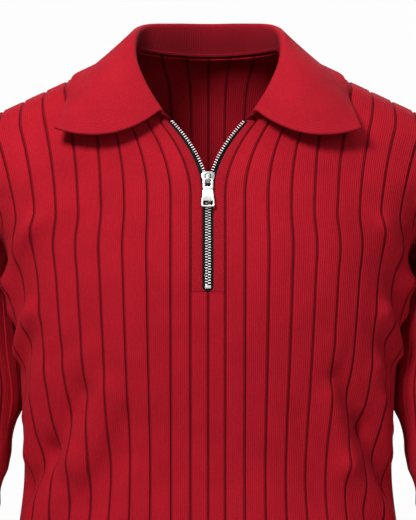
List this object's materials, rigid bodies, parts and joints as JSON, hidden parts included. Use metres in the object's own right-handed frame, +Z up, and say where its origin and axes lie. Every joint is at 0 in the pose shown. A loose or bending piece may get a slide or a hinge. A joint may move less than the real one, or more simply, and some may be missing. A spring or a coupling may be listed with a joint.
{
  "type": "zip-neck pullover",
  "caption": "Long-sleeved ribbed knit pullover, filled out as worn, with a turned-down collar and a short zip at the neck whose pull swings.",
  "frame": {"origin": "middle of the neck opening at shoulder height, where the wearer carries the garment", "axes": "+Z up, +X towards the garment's left sleeve (the viewer's right), the front faces -Y"},
  "size_m": [0.6378, 0.2414, 0.7288],
  "materials": {
    "red_knit": "ribbed fine-gauge knit, dull with a soft nap",
    "red_collar_knit": "fine flat rib knit",
    "black_zip_tape": "woven tape, matt",
    "nickel_zip_metal": "polished nickel-coloured plating"
  },
  "bodies": {
    "garment": {"front": "red_knit", "back": "red_knit", "sleeve_left": "red_knit", "sleeve_right": "red_knit", "collar": "red_collar_knit", "neck_tape": "red_collar_knit", "placket_left": "red_collar_knit", "placket_right": "red_collar_knit", "zip_tape_left": "black_zip_tape", "zip_tape_right": "black_zip_tape", "zip_stop": "nickel_zip_metal", "zip_slider": "nickel_zip_metal"},
    "pull": {"zip_pull": "nickel_zip_metal"}
  },
  "joints": [
    {"name": "pull_swing", "type": "hinge", "parent": "garment", "child": "pull", "pos_m": [0, -0.10077, -0.12878], "axis": [-1, 0, 0], "range_deg": [0, 165]}
  ]
}
